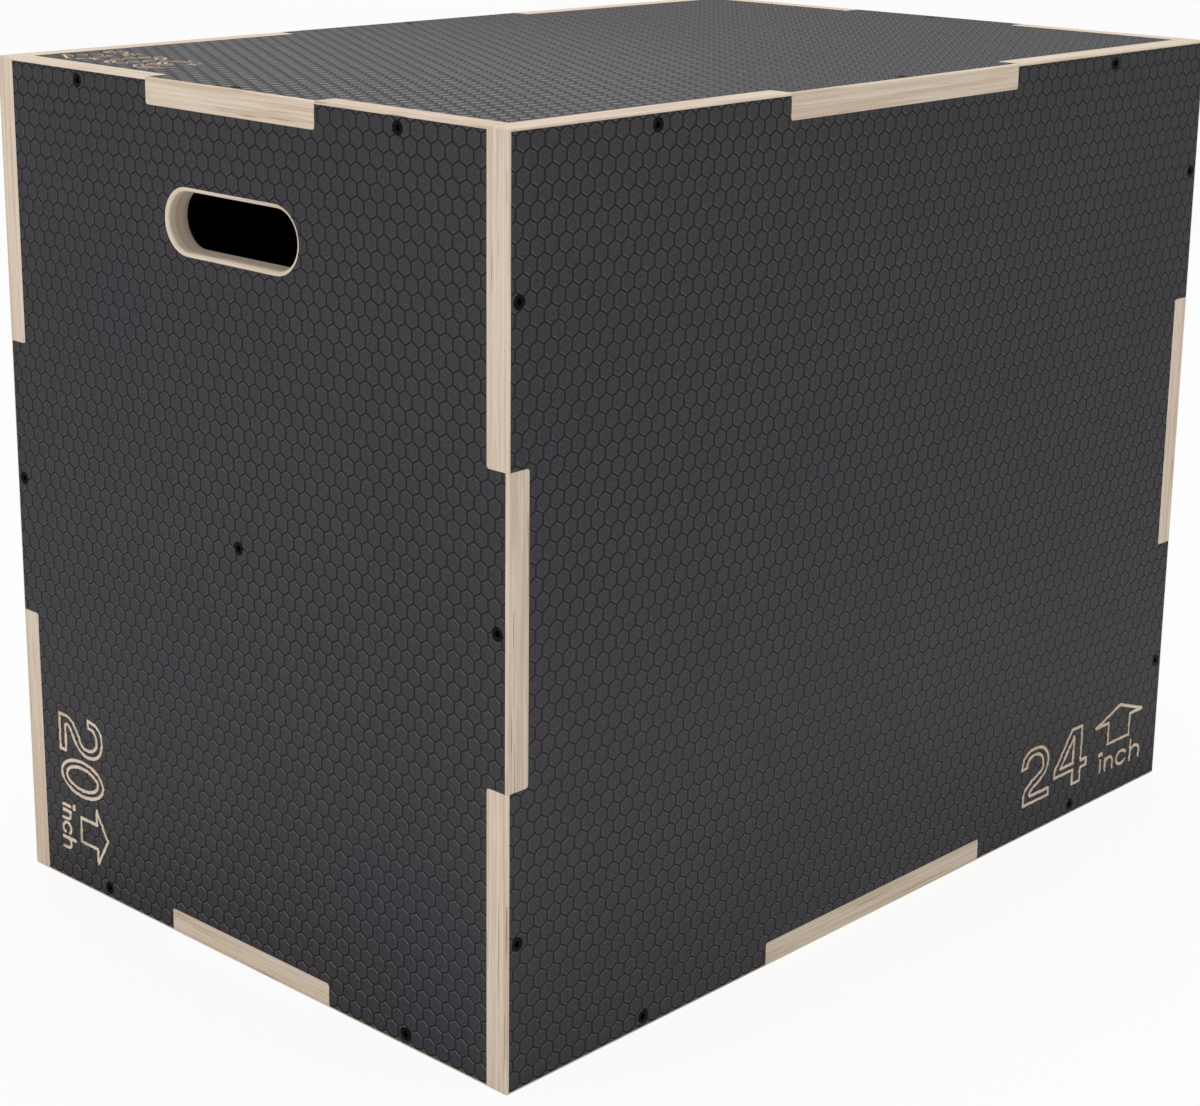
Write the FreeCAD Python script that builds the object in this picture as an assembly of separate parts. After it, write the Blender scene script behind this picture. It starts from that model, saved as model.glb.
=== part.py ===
"""A rigid jumping box with three heights, made of finger-jointed film-faced plywood.

Millimetres. +Z is up, X runs along the longest side and Y along the shortest.
The origin is at the middle of the footprint, on the floor.
"""
import FreeCAD, Part
import os

V = FreeCAD.Vector
X = V(1, 0, 0)
Y = V(0, 1, 0)
Z = V(0, 0, 1)

# Outer size of the box: 30, 20 and 24 inches.
LENGTH = 762.0
WIDTH = 508.0
HEIGHT = 609.6

# Plywood.
BOARD = 18.0            # thickness of every board
EDGE_ROUND = 2.0        # rounding along the twelve outer edges

# Finger joints: each edge has one middle finger and an outer finger on each side of it.
FINGER_X = 254.0        # middle finger of the edges along X
FINGER_Y = 169.3        # middle finger of the edges along Y
FINGER_Z = 203.2        # middle finger of the upright edges
JOINT_GAP = 0.15        # play beside each flank of a middle finger
CUTTER_RADIUS = 2.0     # rounding that the router leaves in the inside corners

# Hand slot, one in each end panel.
SLOT_WIDTH = 130.0
SLOT_HEIGHT = 40.0
SLOT_ROUND = 3.0        # rounding of both rims
SLOT_DROP = 91.5        # from the top of the box down to the middle of the slot

# Inner brace: a board on edge between the two end panels.
BRACE_HEIGHT = 150.0

# Countersunk screws with a hexagon socket.
SCREW_LENGTH = 50.0     # head included
SCREW_DIAMETER = 5.0
HEAD_DIAMETER = 9.4
HEAD_RIM = 0.5          # cylindrical rim above the cone of the head
HEAD_CONE = 2.6         # height of the cone of the head
HEAD_SINK = 0.3         # head top below the face of the board
SOCKET_FLATS = 4.0      # across the flats of the socket
SOCKET_DEPTH = 2.0
TIP_LENGTH = 4.0
TIP_DIAMETER = 1.0
SCREW_PLAY = 0.1        # between a screw and its hole, all round
HOLE_SPARE = 1.5        # hole depth left beyond the tip

HALF_LENGTH = LENGTH / 2
HALF_WIDTH = WIDTH / 2
MID_HEIGHT = HEIGHT / 2
MIDDLE = V(0, 0, MID_HEIGHT)
RELIEF_RADIUS = CUTTER_RADIUS + 2 * JOINT_GAP
TINY = 1e-6


def block(low, high):
    """A box between two opposite corners."""
    size = high - low
    return Part.makeBox(size.x, size.y, size.z, low)


def size_along(direction):
    """Outer size of the box along one of its axes."""
    return abs(direction.x) * LENGTH + abs(direction.y) * WIDTH + abs(direction.z) * HEIGHT


def finger_along(direction):
    """Middle finger's width on the edges that run along one axis."""
    return abs(direction.x) * FINGER_X + abs(direction.y) * FINGER_Y + abs(direction.z) * FINGER_Z


def centred_block(centre, along_a, half_a, along_b, half_b, along_c, half_c):
    """A box given by its centre and its half sizes along three axes."""
    reach = along_a * half_a + along_b * half_b + along_c * half_c
    reach = V(abs(reach.x), abs(reach.y), abs(reach.z))
    return block(centre - reach, centre + reach)


def corner_prism(corner, side_a, side_b, radius, along, length):
    """What a router of this radius leaves in a corner between two flanks."""
    end_a = corner + side_a * radius
    end_b = corner + side_b * radius
    middle = corner + (side_a + side_b) * (radius * (1 - 0.5 ** 0.5))
    wire = Part.Wire([
        Part.LineSegment(corner, end_a).toShape(),
        Part.Arc(end_a, middle, end_b).toShape(),
        Part.LineSegment(end_b, corner).toShape(),
    ])
    return Part.Face(wire).extrude(along * length)


def outer_envelope():
    """The whole box with its twelve edges rounded."""
    box = block(V(-HALF_LENGTH, -HALF_WIDTH, 0), V(HALF_LENGTH, HALF_WIDTH, HEIGHT))
    return box.makeFillet(EDGE_ROUND, box.Edges)


class Panel:
    """One board of the box: its outward normal, its solid and what its joints add or take."""

    def __init__(self, name, normal, shape):
        self.name = name
        self.normal = normal
        self.shape = shape
        self.webs = []
        self.cuts = []

    def finish(self, envelope):
        solid = self.shape.fuse(self.webs)
        solid = solid.cut(self.cuts)
        solid = solid.common(envelope)
        return solid.removeSplitter()


def panel_centre(normal):
    """Middle of the board that faces this way, at half its thickness."""
    return MIDDLE + normal * (size_along(normal) / 2 - BOARD / 2)


def finger_block(normal, other, along, half_width):
    """The square bar along one edge of the box, cut to a width about its middle."""
    centre = panel_centre(normal) + other * (size_along(other) / 2 - BOARD / 2)
    return centred_block(centre, along, half_width, normal, BOARD / 2, other, BOARD / 2)


def outer_panel(name, normal):
    """A front or back board: full size, notched in the middle of each edge."""
    shape = centred_block(panel_centre(normal), X, HALF_LENGTH, Z, MID_HEIGHT, normal, BOARD / 2)
    for other, along in ((X, Z), (-X, Z), (Z, X), (-Z, X)):
        shape = shape.cut(finger_block(normal, other, along, finger_along(along) / 2))
    return Panel(name, normal, shape)


def hand_slot(normal):
    """The stadium-shaped hole through an end board, longer than the board is thick."""
    radius = SLOT_HEIGHT / 2
    straight = SLOT_WIDTH / 2 - radius
    start = normal * (HALF_LENGTH - 2 * BOARD)
    level = Z * (HEIGHT - SLOT_DROP)
    reach = 3 * BOARD
    middle = centred_block(start + level + normal * (reach / 2), Y, straight, Z, radius, X, reach / 2)
    ends = [Part.makeCylinder(radius, reach, start + level + Y * (side * straight), normal) for side in (-1, 1)]
    return middle.fuse(ends).removeSplitter()


def slot_rims(shape):
    """The edges of the hand slot that lie in the two faces of the board."""
    low = HEIGHT - SLOT_DROP - SLOT_HEIGHT / 2 - TINY
    high = HEIGHT - SLOT_DROP + SLOT_HEIGHT / 2 + TINY
    rims = []
    for edge in shape.Edges:
        box = edge.BoundBox
        flat = box.XLength < TINY
        if flat and box.ZMin > low and box.ZMax < high and abs(box.Center.y) < SLOT_WIDTH / 2:
            rims.append(edge)
    return rims


def end_panel(name, normal):
    """An end board: slotted, with side fingers, notched in the middle of its top and bottom."""
    half_body = HALF_WIDTH - BOARD
    shape = centred_block(panel_centre(normal), Y, half_body, Z, MID_HEIGHT, normal, BOARD / 2)
    shape = shape.cut(hand_slot(normal))
    shape = shape.makeFillet(SLOT_ROUND, slot_rims(shape))
    for other in (Y, -Y):
        shape = shape.fuse(finger_block(normal, other, Z, FINGER_Z / 2 - JOINT_GAP))
    for other in (Z, -Z):
        shape = shape.cut(finger_block(normal, other, Y, FINGER_Y / 2))
    return Panel(name, normal, shape.removeSplitter())


def flat_panel(name, normal):
    """A top or bottom board: it lies between the others, with a finger out of each side."""
    centre = panel_centre(normal)
    shape = centred_block(centre, X, HALF_LENGTH - BOARD, Y, HALF_WIDTH - BOARD, Z, BOARD / 2)
    for other, along in ((X, Y), (-X, Y), (Y, X), (-Y, X)):
        shape = shape.fuse(finger_block(normal, other, along, finger_along(along) / 2 - JOINT_GAP))
    return Panel(name, normal, shape.removeSplitter())


def round_joint(notched, fingered):
    """Rounds the inside corners of one finger joint, and what they meet in the other board.

    notched is the board with the outer fingers, fingered the one with the middle finger.
    """
    out_n = notched.normal
    out_f = fingered.normal
    along = out_n.cross(out_f)
    edge = MIDDLE + out_n * (size_along(out_n) / 2) + out_f * (size_along(out_f) / 2)
    half = finger_along(along) / 2
    for side in (-1, 1):
        away = along * side
        notch = edge + away * half - out_f * BOARD - out_n * BOARD
        root = edge + away * (half - JOINT_GAP) - out_n * BOARD - out_f * BOARD
        notched.webs.append(corner_prism(notch, -away, out_f, CUTTER_RADIUS, out_n, BOARD))
        fingered.cuts.append(corner_prism(notch, -away, out_f, RELIEF_RADIUS, out_n, BOARD))
        fingered.webs.append(corner_prism(root, away, out_n, CUTTER_RADIUS, out_f, BOARD))
        notched.cuts.append(corner_prism(root, away, out_n, RELIEF_RADIUS, out_f, BOARD))


def turned(outline):
    """A solid of revolution about Z from its outline of (radius, depth) points."""
    points = [V(radius, 0, depth) for radius, depth in outline]
    wire = Part.makePolygon(points + [points[0]])
    return Part.Face(wire).revolve(V(0, 0, 0), Z, 360)


def screw_outline(play, top, spare):
    """Half section of a screw, or of its hole when it is given play."""
    shank = SCREW_DIAMETER / 2 + play
    head = HEAD_DIAMETER / 2 + play
    rim_end = HEAD_SINK + HEAD_RIM
    cone_end = rim_end + HEAD_CONE
    tip = HEAD_SINK + SCREW_LENGTH + spare
    return [
        (0, top),
        (head, top),
        (head, rim_end),
        (shank, cone_end),
        (shank, tip - TIP_LENGTH),
        (TIP_DIAMETER / 2 + play, tip),
        (0, tip),
    ]


def hexagon_socket():
    """The recess for the key, from above the head down to its floor."""
    corner_radius = SOCKET_FLATS / 3 ** 0.5
    corners = [FreeCAD.Rotation(Z, 60 * i).multVec(X * corner_radius) for i in range(7)]
    face = Part.Face(Part.makePolygon(corners))
    depth = HEAD_SINK + SOCKET_DEPTH
    return face.extrude(Z * depth)


def screw_solid():
    """One screw: depth zero is the face of the board, and depth grows into it."""
    return turned(screw_outline(0, HEAD_SINK, 0)).cut(hexagon_socket())


def screw_hole():
    """The countersunk hole that one screw sits in."""
    return turned(screw_outline(SCREW_PLAY, -BOARD / 2, HOLE_SPARE))


def placed(shape, point, normal):
    """A copy of a screw or hole, driven at a point of a face against its normal."""
    copy = shape.copy()
    copy.Placement = FreeCAD.Placement(point, FreeCAD.Rotation(Z, -normal))
    return copy


def joint_screws(notched, fingered):
    """Places (point, normal) of the three screws of one edge of the box.

    Two go through the outer fingers into the fingered board, and one through the middle finger.
    """
    out_n = notched.normal
    out_f = fingered.normal
    along = out_n.cross(out_f)
    face_n = MIDDLE + out_n * (size_along(out_n) / 2) + out_f * (size_along(out_f) / 2 - BOARD / 2)
    face_f = MIDDLE + out_f * (size_along(out_f) / 2) + out_n * (size_along(out_n) / 2 - BOARD / 2)
    reach = size_along(along) / 2
    if along.y != 0:
        reach = reach - BOARD
    offset = (finger_along(along) / 2 + reach) / 2
    return [
        (face_n + along * offset, out_n),
        (face_n - along * offset, out_n),
        (face_f, out_f),
    ]


def brace_solid():
    """The inner brace, butted against both end boards at the middle of the box."""
    return centred_block(MIDDLE, X, HALF_LENGTH - BOARD, Y, BOARD / 2, Z, BRACE_HEIGHT / 2)


def write(name, shape):
    """Checks one sub-part and writes its file."""
    if not shape.isValid() or not shape.Solids:
        raise ValueError(name + " is not a valid solid")
    shape.exportStep(os.path.join("parts", name + ".step"))


def main():
    os.makedirs("parts", exist_ok=True)
    envelope = outer_envelope()
    front = outer_panel("front_panel", -Y)
    back = outer_panel("back_panel", Y)
    left = end_panel("left_end_panel", -X)
    right = end_panel("right_end_panel", X)
    top = flat_panel("top_panel", Z)
    bottom = flat_panel("bottom_panel", -Z)

    joints = {
        "front_left_joint_screws": (front, left),
        "front_right_joint_screws": (front, right),
        "back_left_joint_screws": (back, left),
        "back_right_joint_screws": (back, right),
        "front_top_joint_screws": (front, top),
        "front_bottom_joint_screws": (front, bottom),
        "back_top_joint_screws": (back, top),
        "back_bottom_joint_screws": (back, bottom),
        "left_top_joint_screws": (left, top),
        "left_bottom_joint_screws": (left, bottom),
        "right_top_joint_screws": (right, top),
        "right_bottom_joint_screws": (right, bottom),
    }
    screw = screw_solid()
    hole = screw_hole()
    for name, (notched, fingered) in joints.items():
        round_joint(notched, fingered)
        places = joint_screws(notched, fingered)
        holes = [placed(hole, point, normal) for point, normal in places]
        notched.cuts.extend(holes)
        fingered.cuts.extend(holes)
        write(name, Part.makeCompound([placed(screw, point, normal) for point, normal in places]))

    brace = brace_solid()
    brace_places = [(MIDDLE + normal * HALF_LENGTH, normal) for normal in (-X, X)]
    for end, (point, normal) in zip((left, right), brace_places):
        brace_hole = placed(hole, point, normal)
        end.cuts.append(brace_hole)
        brace = brace.cut(brace_hole)
    write("centre_brace", brace)
    write("brace_screws", Part.makeCompound([placed(screw, point, normal) for point, normal in brace_places]))

    for panel in (front, back, left, right, top, bottom):
        write(panel.name, panel.finish(envelope))


main()
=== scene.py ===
"""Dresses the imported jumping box: embossed film with raised hexagons, bare plywood edges,
engraved heights and black screws, in a plain pale studio.

Metres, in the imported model's frame. Distances written in the tables are millimetres.
"""
import math

import bmesh
import bpy
import numpy as np
from bpy.props import FloatProperty, FloatVectorProperty, PointerProperty
from mathutils import Euler, Matrix, Vector, geometry, kdtree


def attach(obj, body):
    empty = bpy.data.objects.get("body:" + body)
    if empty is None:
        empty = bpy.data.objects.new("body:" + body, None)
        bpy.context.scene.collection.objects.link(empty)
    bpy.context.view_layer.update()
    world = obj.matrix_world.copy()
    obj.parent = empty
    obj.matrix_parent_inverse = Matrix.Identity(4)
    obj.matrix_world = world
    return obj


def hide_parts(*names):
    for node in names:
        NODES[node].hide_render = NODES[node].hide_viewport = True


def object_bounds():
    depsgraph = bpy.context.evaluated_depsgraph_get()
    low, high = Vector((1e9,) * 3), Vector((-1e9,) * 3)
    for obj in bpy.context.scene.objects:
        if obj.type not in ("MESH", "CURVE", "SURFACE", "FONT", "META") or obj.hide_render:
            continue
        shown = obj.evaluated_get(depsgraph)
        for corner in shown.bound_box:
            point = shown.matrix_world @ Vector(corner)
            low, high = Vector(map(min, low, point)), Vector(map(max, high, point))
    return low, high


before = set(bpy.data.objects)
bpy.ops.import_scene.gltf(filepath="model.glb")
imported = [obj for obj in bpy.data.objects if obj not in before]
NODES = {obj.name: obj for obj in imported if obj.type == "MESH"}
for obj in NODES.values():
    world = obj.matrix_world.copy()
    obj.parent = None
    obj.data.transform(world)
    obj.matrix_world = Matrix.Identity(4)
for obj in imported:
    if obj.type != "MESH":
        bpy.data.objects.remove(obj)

bl_info = {
    "name": "Plywood Jumping Box",
    "version": (1, 0, 0),
    "blender": (4, 5, 0),
    "location": "3D View > Sidebar > Jumping Box",
    "description": "Dresses the packed jumping box with film, plywood edges, marks and screws",
    "category": "Object",
}

CAD_BOX = [list(corner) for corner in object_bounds()]
LOW = Vector(CAD_BOX[0])
HIGH = Vector(CAD_BOX[1])
MIDDLE = (LOW + HIGH) / 2
HALF = (HIGH - LOW) / 2
MM = 0.001
ROOT = "root"
X = Vector((1, 0, 0))
Y = Vector((0, 1, 0))
Z = Vector((0, 0, 1))

FILM, PLY, SMOOTH = range(3)     # material slots of a board
FLAT = 0.01 * MM                 # how far a point of a flat face may lie off its plane
PARALLEL = 0.9999                # cosine above which two directions count as the same
SEAT_DEPTH = 3 * MM              # a board's face belongs to a screw's seat when it lies less
SEAT_REACH = 1 * MM              # deep than this and a corner of a screw is this near
SHORTEST = 0.01 * MM             # a shorter step of the cutter is left out
FEWEST_FACES = 1000              # a board with fewer faces than this has no grooves
FLOOR_RADIUS = 9                 # metres

# Each board: its outward direction, and the direction that is up in its own marks.
BOARDS = {
    "front_panel": (-Y, Z),
    "back_panel": (Y, Z),
    "left_end_panel": (-X, -Y),
    "right_end_panel": (X, Y),
    "top_panel": (Z, -X),
    "bottom_panel": (-Z, X),
}

# Marks of a board: each sign with its left, bottom, right and top, in millimetres from the
# lower right corner of the face as its marks are read.
MARKS = {
    "front_panel": (
        ("2", -199.5, 25.6, -158.5, 73.0),
        ("4", -153.0, 24.5, -105.0, 74.0),
        ("arrow", -94.5, 44.5, -23.5, 77.0),
        ("inch", -89.5, 21.0, -23.5, 42.0),
    ),
    "left_end_panel": (
        ("2", -135.6, 37.5, -102.5, 91.5),
        ("0", -100.5, 38.0, -71.0, 91.0),
        ("arrow", -67.0, 59.5, -23.0, 94.5),
        ("inch", -63.0, 36.0, -23.6, 55.0),
    ),
    "top_panel": (
        ("3", -137.0, 682.0, -104.0, 732.0),
        ("0", -101.0, 682.0, -71.0, 732.0),
        ("arrow", -67.0, 704.0, -23.0, 736.0),
        ("inch", -63.0, 680.0, -24.0, 699.0),
    ),
}


def arc(x, y, radius_x, radius_y, start, end, steps=24):
    """Points along part of an ellipse, from one angle in degrees to another."""
    points = []
    for i in range(steps + 1):
        angle = math.radians(start + (end - start) * i / steps)
        points.append((x + radius_x * math.cos(angle), y + radius_y * math.sin(angle)))
    return points


def curve(*points, steps=4):
    """A smooth line through the points."""
    line = [Vector(point) for point in points]
    line = [2 * line[0] - line[1]] + line + [2 * line[-1] - line[-2]]
    result = []
    for a, b, c, d in zip(line, line[1:], line[2:], line[3:]):
        for i in range(steps):
            t = i / steps
            bend = 2 * a - 5 * b + 4 * c - d
            swing = 3 * b - a - 3 * c + d
            spot = 2 * b + (c - a) * t + bend * t**2 + swing * t**3
            result.append(tuple(spot / 2))
    return result + [points[-1]]


def closed(line):
    return line + [line[0]]


# The lines that the cutter follows for each sign, in a box one unit wide and high.
SIGNS = {
    "2": [closed(
        curve((0, 0.69), (0.06, 0.86), (0.2, 0.965), (0.44, 1), (0.72, 0.96), (0.9, 0.83),
              (0.955, 0.66), (0.9, 0.51), (0.76, 0.4), (0.56, 0.315), (0.38, 0.245), (0.31, 0.19),
              (0.35, 0.135))
        + [(1, 0.13), (1, 0), (0.1, 0)]
        + curve((0.1, 0.1), (0.125, 0.22), (0.22, 0.32), (0.42, 0.42), (0.64, 0.49),
                (0.755, 0.565), (0.78, 0.66), (0.73, 0.78), (0.6, 0.86), (0.42, 0.88),
                (0.27, 0.84), (0.205, 0.77), (0.19, 0.69)))],
    "3": [closed(
        curve((0, 0.78), (0.08, 0.92), (0.28, 1), (0.55, 1), (0.8, 0.93), (0.9, 0.77),
              (0.82, 0.62), (0.66, 0.54))
        + curve((0.66, 0.54), (0.9, 0.44), (1, 0.28), (0.9, 0.09), (0.66, 0), (0.35, 0),
                (0.1, 0.08), (0, 0.25))
        + curve((0.18, 0.25), (0.25, 0.15), (0.42, 0.12), (0.64, 0.13), (0.78, 0.2),
                (0.8, 0.31), (0.72, 0.42), (0.55, 0.47), (0.36, 0.47))
        + curve((0.36, 0.6), (0.56, 0.61), (0.7, 0.69), (0.7, 0.79), (0.6, 0.87), (0.42, 0.88),
                (0.26, 0.85), (0.19, 0.78)))],
    "4": [
        closed([(0.5, 1), (0.82, 1), (0.82, 0.37), (1, 0.37), (1, 0.245), (0.82, 0.245), (0.82, 0),
                (0.58, 0), (0.58, 0.26), (0, 0.26), (0, 0.37)]),
        closed([(0.58, 0.86), (0.58, 0.38), (0.19, 0.38)]),
    ],
    "0": [arc(0.5, 0.5, 0.5, 0.5, 0, 360, 48), arc(0.5, 0.5, 0.32, 0.375, 0, 360, 40)],
    "arrow": [closed([(0.5, 1), (1, 0.61), (0.73, 0.61), (0.73, 0), (0.27, 0), (0.27, 0.61),
                      (0, 0.61)])],
    "inch": [
        [(0.06, 0.1), (0.06, 0.64)],
        [(0.02, 0.95), (0.09, 0.95)],
        [(0.02, 0.89), (0.09, 0.89)],
        [(0.18, 0.08), (0.18, 0.64)],
        [(0.18, 0.38)] + arc(0.265, 0.38, 0.085, 0.24, 180, 0, 12) + [(0.35, 0.06)],
        arc(0.56, 0.34, 0.12, 0.3, 38, 322),
        [(0.77, 0), (0.77, 0.94)],
        [(0.77, 0.34)] + arc(0.875, 0.34, 0.105, 0.26, 180, 0, 12) + [(0.98, 0)],
    ],
}


class FilmSettings(bpy.types.PropertyGroup):
    """The film on the boards' faces."""
    pitch: FloatProperty(
        name="Hexagon pitch", description="Distance between two columns of hexagons",
        default=12 * MM, unit="LENGTH", precision=5)
    groove_width: FloatProperty(
        name="Groove width", description="Width of a groove at the top",
        default=2.6 * MM, unit="LENGTH", precision=5)
    groove_foot: FloatProperty(
        name="Groove foot", description="Width of a groove at its floor",
        default=1.1 * MM, unit="LENGTH", precision=5)
    groove_depth: FloatProperty(
        name="Groove depth", description="Height of the hexagons above the grooves",
        default=0.5 * MM, unit="LENGTH", precision=5)
    border: FloatProperty(
        name="Border", description="Bare band along the rounded edges of the box",
        default=2 * MM, unit="LENGTH", precision=5)
    pad_colour: FloatVectorProperty(
        name="Hexagons", description="Colour of the raised hexagons",
        subtype="COLOR", size=3, default=(0.0285, 0.0262, 0.0292))
    warm_colour: FloatVectorProperty(
        name="Warm patches", description="Colour of the film where it looks brownish",
        subtype="COLOR", size=3, default=(0.0320, 0.0275, 0.0285))
    cool_colour: FloatVectorProperty(
        name="Cool patches", description="Colour of the film where it looks bluish",
        subtype="COLOR", size=3, default=(0.0270, 0.0250, 0.0325))
    # Painted shade: the grooves get a much darker colour than the hexagons, for the shade that
    # falls in them.
    groove_shade_colour: FloatVectorProperty(
        name="Grooves", description="Colour of the grooves",
        subtype="COLOR", size=3, default=(0.0095, 0.0078, 0.0110))


class PlySettings(bpy.types.PropertyGroup):
    """The cut edges of the plywood."""
    veneer: FloatProperty(
        name="Veneer", description="Thickness of one veneer",
        default=1.8 * MM, unit="LENGTH", precision=5)
    light_colour: FloatVectorProperty(
        name="Light veneers", description="Colour of the veneers cut along the grain",
        subtype="COLOR", size=3, default=(0.76, 0.645, 0.525))
    dark_colour: FloatVectorProperty(
        name="Dark veneers", description="Colour of the veneers cut across the grain",
        subtype="COLOR", size=3, default=(0.64, 0.505, 0.375))
    glue_colour: FloatVectorProperty(
        name="Glue lines", description="Colour of the thin lines between the veneers",
        subtype="COLOR", size=3, default=(0.42, 0.27, 0.175))


class MarkSettings(bpy.types.PropertyGroup):
    """The engraved heights."""
    line: FloatProperty(
        name="Line", description="Width of the engraved line",
        default=2.5 * MM, unit="LENGTH", precision=5)
    depth: FloatProperty(
        name="Depth", description="Depth of the engraving",
        default=0.55 * MM, unit="LENGTH", precision=5)


class StageSettings(bpy.types.PropertyGroup):
    """Floor, light and camera."""
    floor_colour: FloatVectorProperty(
        name="Floor", description="Colour of the floor and the backdrop",
        subtype="COLOR", size=3, default=(0.9, 0.9, 0.9))
    sky: FloatProperty(
        name="Sky", description="Strength of the even light from all sides",
        default=0.7)
    key: FloatProperty(
        name="Key light", description="Power of the lamp above",
        default=17, unit="POWER")
    fill: FloatProperty(
        name="Fill light", description="Power of the lamps on both sides of the camera",
        default=9, unit="POWER")
    place: FloatVectorProperty(
        name="Camera place", description="Where the camera stands",
        subtype="TRANSLATION", size=3, default=(-1.40057, -1.28318, 0.80624))
    turn: FloatVectorProperty(
        name="Camera turn", description="How the camera is turned",
        subtype="EULER", size=3,
        default=(math.radians(75.12), math.radians(-0.656), math.radians(-46.69)))
    lens: FloatProperty(
        name="Lens", description="Focal length in millimetres on a 36 mm sensor",
        default=76.65)
    shift: FloatProperty(
        name="Shift", description="Vertical shift that the photograph's crop needs",
        default=-0.0858)


class BoxSettings(bpy.types.PropertyGroup):
    """All sizes and colours of the dressed box."""
    film: PointerProperty(type=FilmSettings)
    ply: PointerProperty(type=PlySettings)
    mark: PointerProperty(type=MarkSettings)
    stage: PointerProperty(type=StageSettings)


def settings():
    return bpy.context.scene.jumping_box


class Socket:
    """An output socket in a node tree. Arithmetic on it adds Math nodes."""

    def __init__(self, graph, socket):
        self.graph = graph
        self.socket = socket

    def _math(self, operation, *values):
        return self.graph.node("ShaderNodeMath", {"operation": operation}, dict(enumerate(values)))

    def __add__(self, other):
        return self._math("ADD", self, other)

    def __radd__(self, other):
        return self._math("ADD", other, self)

    def __sub__(self, other):
        return self._math("SUBTRACT", self, other)

    def __rsub__(self, other):
        return self._math("SUBTRACT", other, self)

    def __mul__(self, other):
        return self._math("MULTIPLY", self, other)

    def __rmul__(self, other):
        return self._math("MULTIPLY", other, self)

    def __truediv__(self, other):
        return self._math("DIVIDE", self, other)

    def __rtruediv__(self, other):
        return self._math("DIVIDE", other, self)

    def __mod__(self, other):
        return self._math("FLOORED_MODULO", self, other)

    def __abs__(self):
        return self._math("ABSOLUTE", self)

    def floor(self):
        return self._math("FLOOR", self)

    def round(self):
        return self._math("ROUND", self)

    def above(self, edge):
        return self._math("GREATER_THAN", self, edge)

    def ramp(self, start, end):
        """Rises smoothly from 0 at start to 1 at end."""
        settings = {"interpolation_type": "SMOOTHSTEP", "clamp": True}
        values = {0: self, 1: start, 2: end, 3: 0.0, 4: 1.0}
        return self.graph.node("ShaderNodeMapRange", settings, values)


class Graph:
    """Makes the nodes of one tree."""

    def __init__(self, tree):
        self.tree = tree

    def node(self, kind, settings=None, values=None, output=0):
        """A node of this type, with its settings and then its sockets' values or links set."""
        node = self.tree.nodes.new(kind)
        for name, value in (settings or {}).items():
            setattr(node, name, value)
        for name, value in (values or {}).items():
            if isinstance(value, Socket):
                self.tree.links.new(value.socket, node.inputs[name])
            else:
                node.inputs[name].default_value = value
        return Socket(self, node.outputs[output]) if node.outputs else node

    def parts(self, vector):
        """The three numbers of a vector."""
        first = self.node("ShaderNodeSeparateXYZ", None, {0: vector})
        node = first.socket.node
        return [Socket(self, output) for output in node.outputs]

    def mix(self, factor, first, second):
        """A mix of two colours."""
        settings = {"data_type": "RGBA", "blend_type": "MIX", "clamp_factor": True}
        values = {0: factor, 6: rgba(first), 7: rgba(second)}
        return self.node("ShaderNodeMix", settings, values, 2)


def rgba(colour):
    """A colour with its alpha, or the socket that gives one."""
    return colour if isinstance(colour, Socket) else (*colour, 1.0)


def scaled(colour, factor):
    """A colour with its three numbers multiplied."""
    return [channel * factor for channel in colour]


def new_material(name, display):
    """An empty node material, its graph and its principled shader."""
    material = bpy.data.materials.new(name)
    material.use_nodes = True
    material.diffuse_color = rgba(display)
    material.node_tree.nodes.clear()
    graph = Graph(material.node_tree)
    shader = graph.node("ShaderNodeBsdfPrincipled")
    output = material.node_tree.nodes.new("ShaderNodeOutputMaterial")
    material.node_tree.links.new(shader.socket, output.inputs["Surface"])
    return material, graph, shader.socket.node


def connect(graph, shader, **values):
    """Links or sets inputs of the shader, such as Base_Color."""
    for name, value in values.items():
        target = shader.inputs[name.replace("_", " ")]
        if isinstance(value, Socket):
            graph.tree.links.new(value.socket, target)
        else:
            target.default_value = value


def place(graph):
    """Object coordinates."""
    return graph.node("ShaderNodeTexCoord", None, None, "Object")


def noise(graph, vector, scale, detail=2.0, roughness=0.5):
    """Noise from 0 to 1. Scale is in features per metre."""
    values = {"Vector": vector, "Scale": scale, "Detail": detail, "Roughness": roughness}
    return graph.node("ShaderNodeTexNoise", None, values)


def stretched(graph, vector, factors):
    """The coordinates, stretched along each axis."""
    return graph.node("ShaderNodeVectorMath", {"operation": "MULTIPLY"}, {0: vector, 1: factors})


def bump(graph, height, strength, distance):
    values = {"Height": height, "Strength": strength, "Distance": distance}
    return graph.node("ShaderNodeBump", None, values)


def axis_of(normal):
    """0, 1 or 2: the axis that a direction lies along."""
    return max(range(3), key=lambda i: abs(normal[i]))


def depth_below(graph, where, axis):
    """Distance below the box's outer face along one axis, in metres."""
    return HALF[axis] - abs(graph.parts(where)[axis] - MIDDLE[axis])


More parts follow.
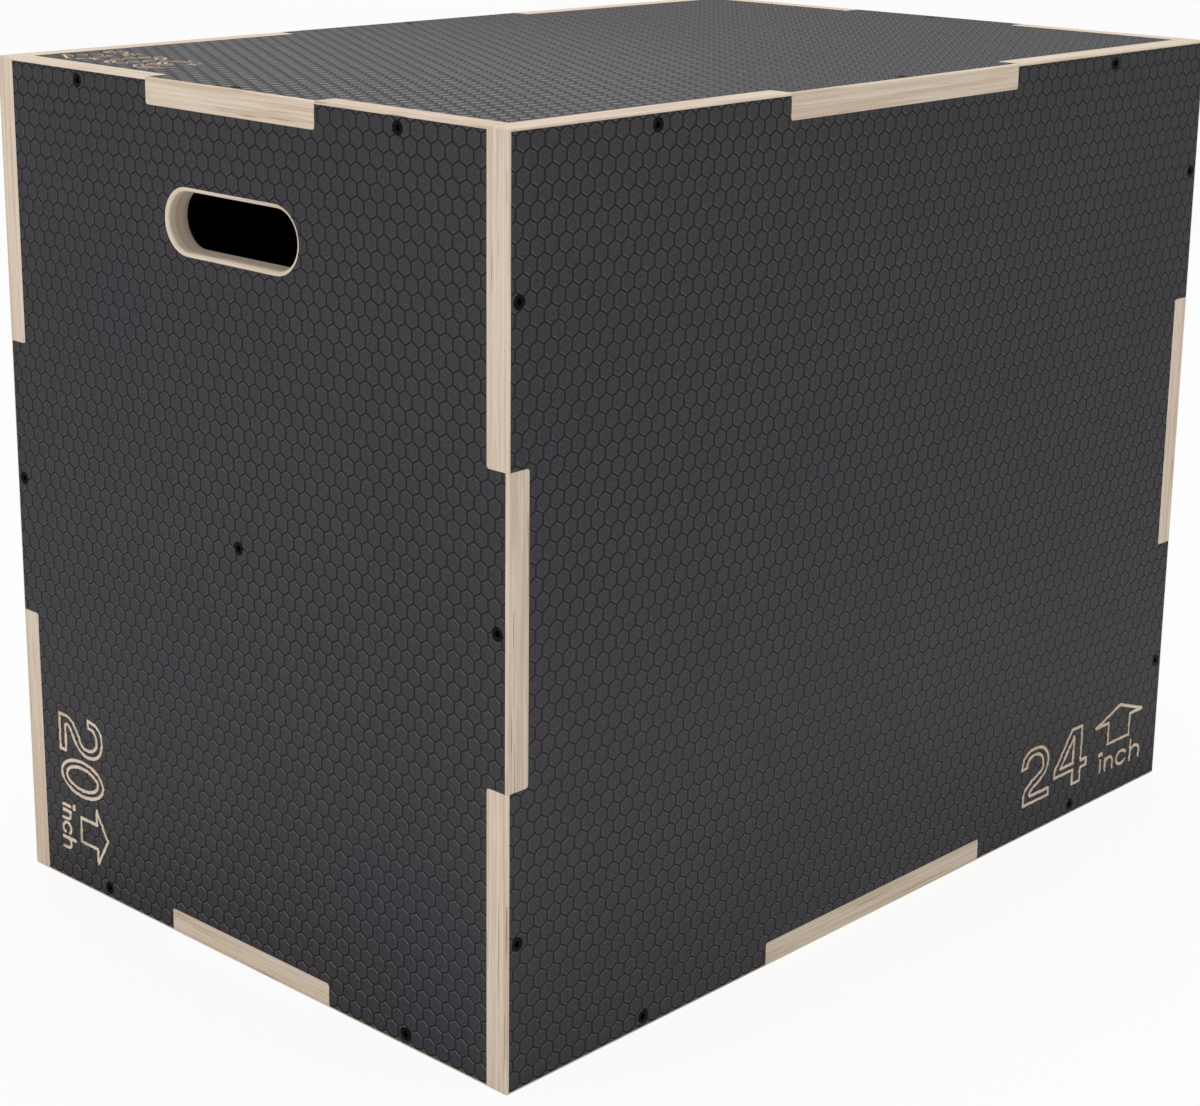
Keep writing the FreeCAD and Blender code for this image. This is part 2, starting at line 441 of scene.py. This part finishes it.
def film_material(axis):
    """Embossed film: raised hexagons with a fine grain, glossier slopes and groove floors painted
    dark as shade.
    """
    film = settings().film
    material, graph, shader = new_material("embossed_film_" + "xyz"[axis], film.pad_colour)
    where = place(graph)
    depth = depth_below(graph, where, axis) / film.groove_depth
    floor = depth.ramp(0.35, 0.9)
    slope = depth.ramp(0.02, 0.12)
    cloud = noise(graph, where, 9, 3)
    drift = noise(graph, where, 3.2, 2)
    speck = noise(graph, where, 1100, 3, 0.7)
    dust = noise(graph, where, 480, 1)
    tone = graph.mix(drift.ramp(0.4, 0.62), film.pad_colour, film.warm_colour)
    tone = graph.mix(drift.ramp(0.5, 0.3), tone, film.cool_colour)
    tone = graph.mix(cloud.ramp(0.35, 0.75) * 0.25, tone, scaled(film.pad_colour, 1.5))
    tone = graph.mix(speck.ramp(0.45, 0.7) * 0.5, tone, scaled(film.pad_colour, 2.2))
    tone = graph.mix(dust.ramp(0.5, 0.75) * 0.45, tone, scaled(film.pad_colour, 2.2))
    tone = graph.mix(dust.ramp(0.5, 0.25) * 0.4, tone, scaled(film.pad_colour, 0.5))
    # The groove floors take the darker colour: painted shade in the grooves.
    tone = graph.mix(floor, tone, film.groove_shade_colour)
    across, along = [i for i in range(3) if i != axis]
    parts = graph.parts(where)
    rib = (parts[across] + parts[along]) * (2 * math.pi / (1.3 * MM))
    rib = graph.node("ShaderNodeMath", {"operation": "SINE"}, {0: rib})
    height = rib * (1 - slope) * 0.5 + speck * 0.8
    normal = bump(graph, height, 0.8, 0.06 * MM)
    rough = 0.54 + cloud * 0.12 + speck * 0.06 + floor * 0.2
    gloss = (slope * 0.8 + cloud * 0.1) * (1 - floor * 0.8)
    connect(graph, shader, Base_Color=tone, Roughness=rough, Normal=normal, Coat_Weight=gloss)
    connect(graph, shader, Coat_Roughness=0.24, Coat_IOR=1.5, Specular_IOR_Level=0.3)
    return material


def smooth_film_material():
    """The plain film on the boards' inner faces."""
    film = settings().film
    material, graph, shader = new_material("smooth_film", film.groove_shade_colour)
    where = place(graph)
    cloud = noise(graph, where, 14, 4)
    fibre = noise(graph, stretched(graph, where, (40, 400, 400)), 1, 3)
    # The darker end of this random mottle reuses the grooves' painted-shade colour as a plain
    # darker tone.
    tone = graph.mix(cloud, film.groove_shade_colour, film.pad_colour)
    normal = bump(graph, fibre, 0.3, 0.05 * MM)
    connect(graph, shader, Base_Color=tone, Roughness=0.3 + fibre * 0.25, Normal=normal)
    return material


def ply_material(axis):
    """Cut plywood: pale veneers of uneven width, thin warm lines between them, a few dark gaps."""
    ply = settings().ply
    material, graph, shader = new_material("plywood_" + "xyz"[axis], ply.light_colour)
    where = place(graph)

    def layers(low, high, detail, roughness=0.5):
        """Noise that changes slowly along the veneers and quickly across them."""
        factors = [low, low, low]
        factors[axis] = high
        return noise(graph, stretched(graph, where, factors), 1, detail, roughness)

    wobble = (layers(9, 40, 2) - 0.5) * 1.1
    level = depth_below(graph, where, axis) / ply.veneer + wobble
    across = (level.floor() % 2.0).above(0.5)
    glue = abs(level % 1.0 - 0.5).ramp(0.40, 0.49)
    broad = layers(7, 300, 2)
    fine = layers(30, 1500, 3, 0.65)
    rare = layers(14, 700, 1)
    pore = noise(graph, where, 1500, 2)
    cloud = noise(graph, where, 16, 3)
    tone = graph.mix(broad.ramp(0.42, 0.62), ply.light_colour, ply.dark_colour)
    tone = graph.mix(across * 0.3, tone, ply.dark_colour)
    tone = graph.mix(fine.ramp(0.5, 0.72) * 0.5, tone, scaled(ply.dark_colour, 0.82))
    pores = pore.ramp(0.5, 0.72) * across
    tone = graph.mix(pores * 0.35, tone, scaled(ply.dark_colour, 0.7))
    tone = graph.mix(glue * fine.ramp(0.3, 0.6) * 0.35, tone, ply.glue_colour)
    tone = graph.mix(rare.ramp(0.70, 0.74) * 0.7, tone, scaled(ply.glue_colour, 0.5))
    tone = graph.mix(cloud.ramp(0.5, 0.8) * 0.35, tone, ply.dark_colour)
    height = fine * 0.6 + pore * across * 0.5 - glue * 0.3
    normal = bump(graph, height, 0.4, 0.12 * MM)
    connect(graph, shader, Base_Color=tone, Roughness=0.6 + fine * 0.2, Normal=normal)
    return material


def screw_material():
    """Black oxide on steel, with a few lighter specks painted as glints."""
    colour = (0.0035, 0.0035, 0.004)
    material, graph, shader = new_material("black_oxide_steel", colour)
    where = place(graph)
    # Painted highlight: random lighter specks on the black heads stand in for glints.
    glint_specks = noise(graph, where, 700, 4).ramp(0.62, 0.75)
    grain = noise(graph, where, 2500, 2)
    tone = graph.mix(glint_specks * 0.4, colour, (0.05, 0.05, 0.052))
    normal = bump(graph, grain, 0.4, 0.03 * MM)
    rough = 0.35 + grain * 0.15
    connect(graph, shader, Base_Color=tone, Roughness=rough, Normal=normal, Specular_IOR_Level=0.06)
    return material


def material_once(name, make, *values):
    """The material of this name, made when it is first asked for."""
    return bpy.data.materials.get(name) or make(*values)


def new_object(name, mesh):
    piece = bpy.data.objects.new(name, mesh)
    bpy.context.scene.collection.objects.link(piece)
    return piece


def evaluated_mesh(piece):
    """The object's mesh with its modifiers applied, as a mesh of its own."""
    bpy.context.view_layer.update()
    graph = bpy.context.evaluated_depsgraph_get()
    return bpy.data.meshes.new_from_object(piece.evaluated_get(graph), depsgraph=graph)


def face_frame(node):
    """Matrix from a face's own frame to the world.

    Its origin is the middle of the outer face, x runs as the marks are read, y is up and z out.
    """
    normal, up = BOARDS[node]
    side = up.cross(normal)
    centre = MIDDLE + normal * HALF[axis_of(normal)]
    return Matrix((side, up, normal)).transposed().to_4x4(), centre, side, up


def in_face(mesh, node):
    """Moves a mesh from the face's own frame to its place on the box."""
    turn, centre, _side, _up = face_frame(node)
    mesh.transform(Matrix.Translation(centre) @ turn)


def half_extent(direction):
    return HALF[axis_of(direction)]


def honeycomb_tree():
    """Geometry nodes: the grooves between raised hexagons, as one solid to cut with."""
    tree = bpy.data.node_groups.get("Honeycomb grooves")
    if tree:
        items = tree.interface.items_tree
        return tree, {item.name: item.identifier for item in items if item.in_out == "INPUT"}
    tree = bpy.data.node_groups.new("Honeycomb grooves", "GeometryNodeTree")
    sockets = {}

    def add_input(name, kind, value=None):
        socket = tree.interface.new_socket(name=name, in_out="INPUT", socket_type=kind)
        if value is not None:
            socket.default_value = value
        sockets[name] = socket.identifier

    add_input("Kept clear", "NodeSocketGeometry")
    add_input("Columns", "NodeSocketInt", 10)
    add_input("Rows", "NodeSocketInt", 10)
    add_input("Pitch", "NodeSocketFloat", 0.012)
    add_input("Groove Width", "NodeSocketFloat", 0.0015)
    add_input("Groove Foot", "NodeSocketFloat", 0.0007)
    add_input("Groove Depth", "NodeSocketFloat", 0.0005)
    add_input("Face Width", "NodeSocketFloat", 0.1)
    add_input("Face Height", "NodeSocketFloat", 0.1)
    add_input("Film", "NodeSocketMaterial")
    tree.interface.new_socket(name="Grooves", in_out="OUTPUT", socket_type="NodeSocketGeometry")
    graph = Graph(tree)
    group = tree.nodes.new("NodeGroupInput")
    given = {name: Socket(graph, group.outputs[name]) for name in sockets}

    row_step = given["Pitch"] * math.sin(math.radians(60))
    size_x = (given["Columns"] - 1.0) * given["Pitch"]
    size_y = (given["Rows"] - 1.0) * row_step
    grid = graph.node("GeometryNodeMeshGrid", None, {
        "Size X": size_x, "Size Y": size_y,
        "Vertices X": given["Columns"], "Vertices Y": given["Rows"]})
    spot_y = graph.parts(graph.node("GeometryNodeInputPosition"))[1]
    row = ((spot_y + size_y / 2.0) / row_step).round()
    shift_x = ((row % 2.0) - 0.5) * given["Pitch"] * 0.5
    shift = graph.node("ShaderNodeCombineXYZ", None, {"X": shift_x})
    points = graph.node("GeometryNodeSetPosition", None, {"Geometry": grid, "Offset": shift})

    # A hexagon widens from the groove's top to its foot, and reaches past both.
    spare = 0.3 * MM
    above = 1.5 * MM
    slope = (given["Groove Width"] - given["Groove Foot"]) / given["Groove Depth"]
    to_radius = 1 / math.sqrt(3)
    flats_top = given["Pitch"] - given["Groove Width"] - slope * above
    flats_low = given["Pitch"] - given["Groove Foot"] + slope * spare
    reach = given["Groove Depth"] + spare + above
    cone = graph.node("GeometryNodeMeshCone", None, {
        "Vertices": 6, "Radius Top": flats_top * to_radius,
        "Radius Bottom": flats_low * to_radius, "Depth": reach})
    drop = graph.node("ShaderNodeCombineXYZ", None, {"Z": 0.0 - given["Groove Depth"] - spare})
    cone = graph.node("GeometryNodeTransform", None, {"Geometry": cone, "Translation": drop})
    pads = graph.node("GeometryNodeInstanceOnPoints", None, {
        "Points": points, "Instance": cone, "Rotation": (0, 0, math.radians(30))})
    pads = graph.node("GeometryNodeRealizeInstances", None, {"Geometry": pads})

    over = 1 * MM
    slab_size = graph.node("ShaderNodeCombineXYZ", None, {
        "X": given["Face Width"], "Y": given["Face Height"], "Z": given["Groove Depth"] + over})
    slab = graph.node("GeometryNodeMeshCube", None, {"Size": slab_size})
    lift = graph.node("ShaderNodeCombineXYZ", None, {"Z": (over - given["Groove Depth"]) * 0.5})
    slab = graph.node("GeometryNodeTransform", None, {"Geometry": slab, "Translation": lift})
    less = {"operation": "DIFFERENCE", "solver": "MANIFOLD"}
    cut = graph.node("GeometryNodeMeshBoolean", less, {"Mesh 1": slab, "Mesh 2": pads})
    cut = graph.node("GeometryNodeMeshBoolean", less, {
        "Mesh 1": cut, "Mesh 2": given["Kept clear"]})
    cut = graph.node("GeometryNodeRealizeInstances", None, {"Geometry": cut})
    cut = graph.node("GeometryNodeSetMaterial", None, {"Geometry": cut, "Material": given["Film"]})
    output = tree.nodes.new("NodeGroupOutput")
    tree.links.new(cut.socket, output.inputs[0])
    return tree, sockets


def union(polygons):
    """Points and triangles of the area that flat convex polygons cover together."""
    points = []
    faces = []
    for polygon in polygons:
        faces.append(list(range(len(points), len(points) + len(polygon))))
        points.extend(Vector(point) for point in polygon)
    flat_points, _edges, triangles = geometry.delaunay_2d_cdt(points, [], faces, 0, 1e-7)[:3]
    flat = np.array([tuple(point) for point in flat_points])
    centre = flat[np.array(triangles)].mean(axis=1)
    covered = np.zeros(len(triangles), bool)
    for polygon in polygons:
        start = np.array(polygon)[:, None, :]
        along = np.roll(start, -1, axis=0) - start
        reach = centre[None, :, :] - start
        left = along[..., 0] * reach[..., 1] - along[..., 1] * reach[..., 0] >= 0
        covered |= left.all(axis=0)
    return flat_points, [list(triangles[i]) for i in np.flatnonzero(covered)]


def border(triangles):
    """The edges that only one triangle has, in that triangle's direction."""
    used = set()
    for triangle in triangles:
        used.update(zip(triangle, triangle[1:] + triangle[:1]))
    return sorted((start, end) for start, end in used if (end, start) not in used)


def prism(mesh_name, polygons, low, high):
    """A closed solid over the union of flat polygons, between two heights. Points are in metres."""
    flat_points, triangles = union(polygons)
    mesh = bmesh.new()
    lower = [mesh.verts.new((p.x, p.y, low)) for p in flat_points]
    upper = [mesh.verts.new((p.x, p.y, high)) for p in flat_points]
    for triangle in triangles:
        mesh.faces.new([upper[i] for i in triangle])
        mesh.faces.new([lower[i] for i in reversed(triangle)])
    for start, end in border(triangles):
        mesh.faces.new([lower[start], lower[end], upper[end], upper[start]])
    loose = [v for v in mesh.verts if not v.link_faces]
    bmesh.ops.delete(mesh, geom=loose, context="VERTS")
    result = bpy.data.meshes.new(mesh_name)
    mesh.to_mesh(result)
    mesh.free()
    return result


def counter_clockwise(polygon):
    """The polygon with its points in the direction that the solids need."""
    area = sum(a[0] * b[1] - b[0] * a[1] for a, b in zip(polygon, polygon[1:] + polygon[:1]))
    return polygon if area > 0 else polygon[::-1]


def cutter_path(line, width):
    """Flat polygons that a round cutter of this width covers along a line."""
    radius = width / 2
    line = [Vector(point) for point in line]
    polygons = []
    for start, end in zip(line, line[1:]):
        if (end - start).length < SHORTEST:
            continue
        across = Vector((start.y - end.y, end.x - start.x)).normalized() * radius
        quad = [start + across, end + across, end - across, start - across]
        polygons.append(counter_clockwise([tuple(point) for point in quad]))
    for point in line:
        turned = arc(point.x, point.y, radius, radius, 0, 360, 16)
        polygons.append(turned[:-1])
    return polygons


def marks_mesh(node):
    """The solid that engraves the marks of one face, in the face's own frame."""
    above = 1 * MM
    mark = settings().mark
    _turn, _centre, side, up = face_frame(node)
    corner = Vector((half_extent(side), -half_extent(up)))
    inset = Vector((mark.line, mark.line)) / 2
    polygons = []
    for sign, left, bottom, right, top in MARKS[node]:
        low = corner + Vector((left, bottom)) * MM + inset
        size = corner + Vector((right, top)) * MM - inset - low
        for line in SIGNS[sign]:
            placed = [(low.x + size.x * x, low.y + size.y * y) for x, y in line]
            polygons.extend(cutter_path(placed, mark.line))
    return prism("marks_" + node, polygons, -mark.depth, above)


def stadium(width, height, steps=40):
    """Outline of a slot with round ends, about the origin."""
    radius = height / 2
    straight = width / 2 - radius
    right = arc(straight, 0, radius, radius, -90, 90, steps)
    left = arc(-straight, 0, radius, radius, 90, 270, steps)
    return right + left


def screw_points():
    """A search tree of all the screws' corners."""
    points = []
    for name, node in NODES.items():
        if name.endswith("screws"):
            points.extend(tuple(vertex.co) for vertex in node.data.vertices)
    tree = kdtree.KDTree(len(points))
    for i, point in enumerate(points):
        tree.insert(point, i)
    tree.balance()
    return tree


def board_copy(node):
    """A merged copy of a CAD board, its faces sorted by finish."""
    normal, _up = BOARDS[node]
    outer = (MIDDLE + normal * half_extent(normal)).dot(normal)
    source = NODES[node].data
    mesh = source.copy()
    mesh.name = node + "_dressed"
    if mesh.has_custom_normals:
        mesh.attributes.remove(mesh.attributes["custom_normal"])
    mesh.materials.clear()
    axis = axis_of(normal)
    letter = "xyz"[axis]
    mesh.materials.append(material_once("embossed_film_" + letter, film_material, axis))
    mesh.materials.append(material_once("plywood_" + letter, ply_material, axis))
    mesh.materials.append(material_once("smooth_film", smooth_film_material))
    work = bmesh.new()
    work.from_mesh(mesh)
    bmesh.ops.remove_doubles(work, verts=work.verts, dist=1e-6)
    inner = max(outer - v.co.dot(normal) for v in work.verts)
    heads = screw_points()
    for face in work.faces:
        flat = abs(face.normal.dot(normal)) > PARALLEL
        depth = outer - face.calc_center_median().dot(normal)
        face.material_index = PLY
        if flat and depth < FLAT:
            face.material_index = FILM
        if flat and depth > inner - FLAT:
            face.material_index = SMOOTH
        # Painted shade: a screw's seat takes the dark inner film all the way down, though below the
        # top half millimetre of film its wall is bare wood in shade.
        if depth < SEAT_DEPTH and heads.find(face.calc_center_median())[2] < SEAT_REACH:
            face.material_index = SMOOTH
    work.to_mesh(mesh)
    work.free()
    return mesh


def grooves_mesh(node, film):
    """The solid that cuts the grooves of one face, in the face's own frame."""
    reach = 5 * MM
    values = settings().film
    normal, _up = BOARDS[node]
    _turn, _centre, side, up = face_frame(node)
    if axis_of(normal) == 0:
        mesh = prism("kept_clear", [slot_rim(node)], -reach, reach)
    else:
        mesh = bpy.data.meshes.new("kept_clear")
    helper = new_object("grooves_" + node, mesh)
    tree, sockets = honeycomb_tree()
    modifier = helper.modifiers.new("Honeycomb", "NODES")
    modifier.node_group = tree
    wide = half_extent(side) * 2
    high = half_extent(up) * 2
    turned = axis_of(normal) == 0 or axis_of(normal) == 2
    if turned:
        wide, high = high, wide
    row_step = values.pitch * math.sin(math.radians(60))
    given = {
        "Columns": math.ceil(wide / values.pitch) + 3,
        "Rows": math.ceil(high / row_step) + 3,
        "Pitch": values.pitch,
        "Groove Width": values.groove_width,
        "Groove Foot": values.groove_foot,
        "Groove Depth": values.groove_depth,
        "Face Width": wide - 2 * values.border,
        "Face Height": high - 2 * values.border,
        "Film": film,
    }
    for name, value in given.items():
        modifier[sockets[name]] = value
    if turned:
        mesh.transform(Matrix.Rotation(math.radians(90), 4, "Z"))
    result = evaluated_mesh(helper)
    if turned:
        result.transform(Matrix.Rotation(math.radians(-90), 4, "Z"))
    bpy.data.objects.remove(helper)
    return result


def slot_rim(node):
    """Outline of the hand slot's rounded rim, in the face's own frame, read from the board."""
    normal, _up = BOARDS[node]
    _turn, centre, side, up = face_frame(node)
    board = NODES[node].data
    outer = centre.dot(normal)
    nearest, farthest, half_width = 0.15, 0.24, 0.1     # where the slot is looked for
    points = set()
    for vertex in board.vertices:
        if abs(vertex.co.dot(normal) - outer) > FLAT:
            continue
        local = vertex.co - centre
        points.add((round(local.dot(side), 6), round(local.dot(up), 6)))
    slot = [p for p in points if -farthest < p[0] < -nearest and abs(p[1]) < half_width]
    if not slot:
        raise RuntimeError("the hand slot of " + node + " wasn't found")
    low_x = min(p[0] for p in slot)
    high_x = max(p[0] for p in slot)
    low_y = min(p[1] for p in slot)
    high_y = max(p[1] for p in slot)
    outline = stadium(high_y - low_y, high_x - low_x)
    turned = [((low_x + high_x) / 2 - y, (low_y + high_y) / 2 + x) for x, y in outline]
    return counter_clockwise(turned)


def cut(board, cutter_mesh, name):
    """Takes a solid out of a board for good."""
    cutter = new_object(name, cutter_mesh)
    modifier = board.modifiers.new(name, "BOOLEAN")
    modifier.operation = "DIFFERENCE"
    modifier.solver = "MANIFOLD"
    modifier.object = cutter
    mesh = evaluated_mesh(board)
    board.modifiers.clear()
    board.data = mesh
    bpy.data.objects.remove(cutter)


def make_board(node):
    """One board with its grooves, its marks and its finishes, in place of the CAD board."""
    mesh = board_copy(node)
    materials = list(mesh.materials)
    board = new_object(node + "_piece", mesh)
    grooves = grooves_mesh(node, materials[FILM])
    grooves.materials.clear()
    for material in materials:
        grooves.materials.append(material)
    grooves.polygons.foreach_set("material_index", [FILM] * len(grooves.polygons))
    in_face(grooves, node)
    cut(board, grooves, "grooves")
    if node in MARKS:
        marks = marks_mesh(node)
        for material in materials:
            marks.materials.append(material)
        marks.polygons.foreach_set("material_index", [PLY] * len(marks.polygons))
        in_face(marks, node)
        cut(board, marks, "marks")
    if len(board.data.polygons) < FEWEST_FACES:
        raise RuntimeError("the grooves of " + node + " weren't cut")
    finish = np.zeros(len(board.data.polygons), int)
    board.data.polygons.foreach_get("material_index", finish)
    board.data.polygons.foreach_set("use_smooth", finish == PLY)
    board.data.set_sharp_from_angle(angle=math.radians(25))
    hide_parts(node)
    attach(board, ROOT)


class BOX_OT_outer_boards(bpy.types.Operator):
    """Make the front and back boards"""
    bl_idname = "jumping_box.outer_boards"
    bl_label = "Front and back boards"

    def execute(self, context):
        make_board("front_panel")
        make_board("back_panel")
        return {"FINISHED"}


class BOX_OT_end_boards(bpy.types.Operator):
    """Make the two end boards with their hand slots"""
    bl_idname = "jumping_box.end_boards"
    bl_label = "End boards"

    def execute(self, context):
        make_board("left_end_panel")
        make_board("right_end_panel")
        return {"FINISHED"}


class BOX_OT_flat_boards(bpy.types.Operator):
    """Make the top and bottom boards"""
    bl_idname = "jumping_box.flat_boards"
    bl_label = "Top and bottom boards"

    def execute(self, context):
        make_board("top_panel")
        make_board("bottom_panel")
        return {"FINISHED"}


class BOX_OT_brace(bpy.types.Operator):
    """Finish the inner brace"""
    bl_idname = "jumping_box.brace"
    bl_label = "Inner brace"

    def execute(self, context):
        brace = NODES["centre_brace"]
        brace.data.materials.clear()
        brace.data.materials.append(material_once("plywood_y", ply_material, 1))
        return {"FINISHED"}


class BOX_OT_screws(bpy.types.Operator):
    """Finish the screws"""
    bl_idname = "jumping_box.screws"
    bl_label = "Screws"

    def execute(self, context):
        black = material_once("black_oxide_steel", screw_material)
        for name, node in NODES.items():
            if name.endswith("screws"):
                node.data.materials.clear()
                node.data.materials.append(black)
        return {"FINISHED"}


def stage_material(name, colour):
    """Pale and matt, and nearly white to the camera, so that only a soft shadow is left.

    In reflections it glows as a painted reflection: darker at the box's foot, and lightest in front
    of the box.
    """
    material, graph, shader = new_material(name, colour)
    where = place(graph)
    mottle = noise(graph, where, 3, 2)
    tone = graph.mix(mottle * 0.1, colour, scaled(colour, 0.97))
    connect(graph, shader, Base_Color=tone, Roughness=0.9)
    path = graph.node("ShaderNodeLightPath")
    rays = path.socket.node.outputs
    glossy = Socket(graph, rays["Is Glossy Ray"])
    camera = Socket(graph, rays["Is Camera Ray"])
    seen = camera + glossy + Socket(graph, rays["Is Transmission Ray"])
    # Painted reflection: for glossy rays the floor glows, weaker at the box's foot and strongest in
    # a patch in front of it, to put a glare band on the film.
    reach = graph.node("ShaderNodeVectorMath", {"operation": "LENGTH"}, {0: where}, "Value")
    rise = reach.ramp(0.42, 0.62)
    fall = reach.ramp(0.75, 1.15)
    lit_spot = (-0.05, -0.6, LOW.z)
    distance = {"operation": "DISTANCE"}
    offset = graph.node("ShaderNodeVectorMath", distance, {0: where, 1: lit_spot}, "Value")
    patch = 1 - offset.ramp(0.15, 0.75)
    strength = 1 + glossy * (rise * 0.6 - fall * 0.35 + patch * 0.45 - 0.7)
    glow = graph.node("ShaderNodeEmission", None, {"Color": (1, 1, 1, 1), "Strength": strength})
    matt = Socket(graph, shader.outputs[0])
    mixed = graph.node("ShaderNodeMixShader", None, {0: seen * 0.92, 1: matt, 2: glow})
    output = [n for n in graph.tree.nodes if n.bl_idname == "ShaderNodeOutputMaterial"][0]
    graph.tree.links.new(mixed.socket, output.inputs["Surface"])
    return material


def add_lamp(name, place_at, look_at, size, power):
    lamp = bpy.data.lights.new(name, "AREA")
    lamp.shape = "SQUARE"
    lamp.size = size
    lamp.energy = power
    holder = bpy.data.objects.new(name, lamp)
    holder.location = place_at
    holder.rotation_euler = (Vector(look_at) - Vector(place_at)).to_track_quat("-Z", "Y").to_euler()
    bpy.context.scene.collection.objects.link(holder)
    return holder


class BOX_OT_stage(bpy.types.Operator):
    """Make the floor, the light and the camera"""
    bl_idname = "jumping_box.stage"
    bl_label = "Stage"

    def execute(self, context):
        stage = settings().stage
        scene = context.scene
        work = bmesh.new()
        bmesh.ops.create_circle(work, cap_ends=True, segments=96, radius=FLOOR_RADIUS)
        mesh = bpy.data.meshes.new("floor")
        work.to_mesh(mesh)
        work.free()
        mesh.transform(Matrix.Translation((0, 0, LOW.z)))
        mesh.materials.append(stage_material("pale_floor", stage.floor_colour))
        new_object("floor", mesh)

        world = bpy.data.worlds.new("studio")
        world.use_nodes = True
        scene.world = world
        world.node_tree.nodes.clear()
        graph = Graph(world.node_tree)
        path = graph.node("ShaderNodeLightPath")
        rays = path.socket.node.outputs
        seen = Socket(graph, rays["Is Camera Ray"])
        strength = stage.sky + seen * (1 - stage.sky)
        sky = graph.node("ShaderNodeBackground", None, {
            "Color": (1, 1, 1, 1), "Strength": strength})
        output = world.node_tree.nodes.new("ShaderNodeOutputWorld")
        world.node_tree.links.new(sky.socket, output.inputs["Surface"])

        add_lamp("key_light", (0.3, 0.2, 2.6), (0, 0, 0.3), 0.9, stage.key)
        add_lamp("left_light", (-2.4, 0.3, 0.9), (0, 0, 0.3), 1.4, stage.fill)
        add_lamp("right_light", (0.5, -2.5, 0.9), (0, 0, 0.3), 1.4, stage.fill * 0.4)

        camera = bpy.data.cameras.new("camera")
        camera.sensor_fit = "HORIZONTAL"
        camera.sensor_width = 36
        camera.lens = stage.lens
        camera.shift_y = stage.shift
        holder = bpy.data.objects.new("camera", camera)
        holder.location = stage.place
        holder.rotation_euler = Euler(stage.turn, "XYZ")
        scene.collection.objects.link(holder)
        scene.camera = holder
        scene.view_settings.view_transform = "Standard"
        return {"FINISHED"}


class BOX_PT_sidebar(bpy.types.Panel):
    """The jumping box's pieces and sizes"""
    bl_idname = "BOX_PT_sidebar"
    bl_label = "Jumping Box"
    bl_space_type = "VIEW_3D"
    bl_region_type = "UI"
    bl_category = "Jumping Box"

    def draw(self, context):
        values = context.scene.jumping_box
        groups = {
            "Film": values.film,
            "Plywood": values.ply,
            "Marks": values.mark,
            "Stage": values.stage,
        }
        for title, group in groups.items():
            box = self.layout.box()
            box.label(text=title)
            for name in group.__annotations__:
                box.prop(group, name)
        for operator in OPERATORS:
            self.layout.operator(operator.bl_idname)


OPERATORS = (
    BOX_OT_stage,
    BOX_OT_outer_boards,
    BOX_OT_end_boards,
    BOX_OT_flat_boards,
    BOX_OT_brace,
    BOX_OT_screws,
)
GROUPS = (FilmSettings, PlySettings, MarkSettings, StageSettings, BoxSettings)
CLASSES = GROUPS + OPERATORS + (BOX_PT_sidebar,)


def register():
    for item in CLASSES:
        bpy.utils.register_class(item)
    bpy.types.Scene.jumping_box = PointerProperty(type=BoxSettings)


def unregister():
    del bpy.types.Scene.jumping_box
    for item in reversed(CLASSES):
        bpy.utils.unregister_class(item)


def main():
    register()
    bpy.ops.jumping_box.stage()
    bpy.ops.jumping_box.outer_boards()
    bpy.ops.jumping_box.end_boards()
    bpy.ops.jumping_box.flat_boards()
    bpy.ops.jumping_box.brace()
    bpy.ops.jumping_box.screws()
    bpy.context.view_layer.update()


if __name__ == "__main__":
    main()
